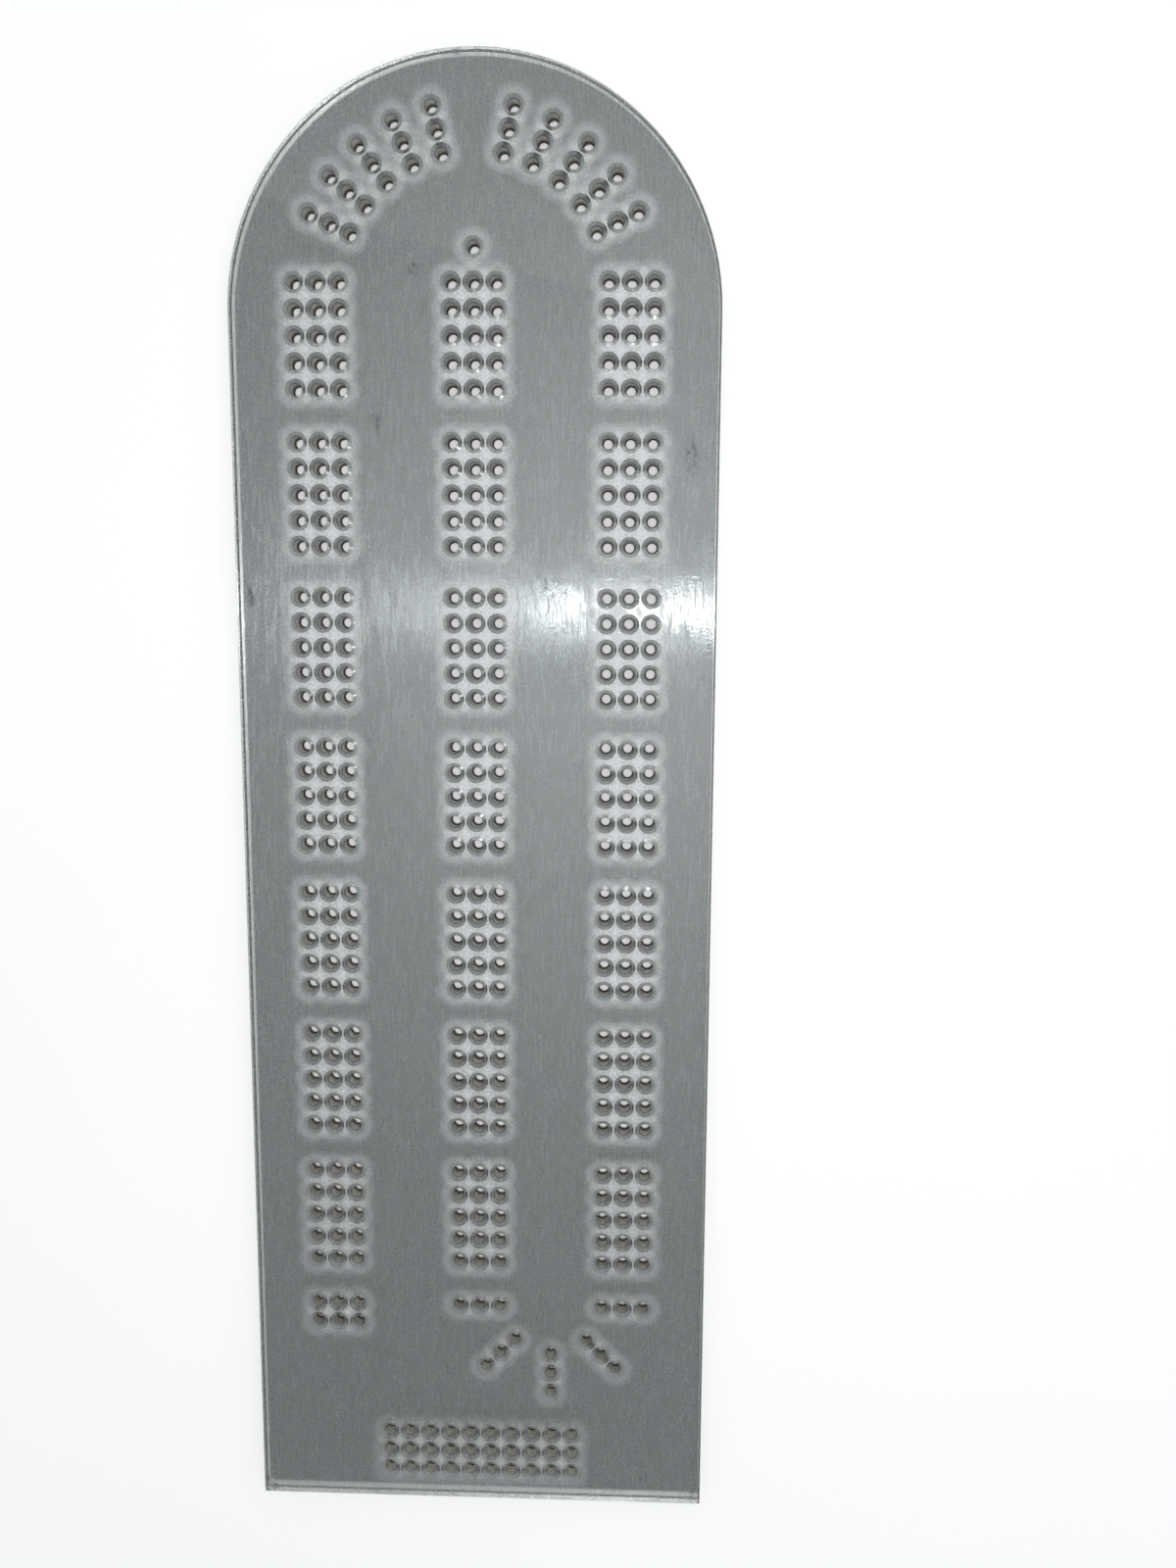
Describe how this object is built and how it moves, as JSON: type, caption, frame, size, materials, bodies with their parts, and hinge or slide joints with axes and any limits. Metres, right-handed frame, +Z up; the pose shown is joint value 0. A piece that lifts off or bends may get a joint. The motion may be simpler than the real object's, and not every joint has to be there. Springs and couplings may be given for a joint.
{
  "type": "cribbage board",
  "caption": "Long flat peg board with a rounded end: a clear, drilled and countersunk face plate bonded on a thin brushed metal back plate.",
  "frame": {"origin": "middle of the underside, on the surface that the board lies on", "axes": "+Y along the board to its rounded end, +Z up out of the clear face, +X across the board to the right of a player at the square end"},
  "size_m": [0.1376, 0.428, 0.0055],
  "materials": {
    "back_plate": "fine straight brush grain along the board, satin, with drilled holes",
    "face_plate": "clear polished acrylic sheet with sawn edges and machined, slightly frosted countersinks"
  },
  "bodies": {
    "root": {"aluminium_back_plate": "back_plate", "acrylic_face_plate": "face_plate"}
  },
  "joints": []
}
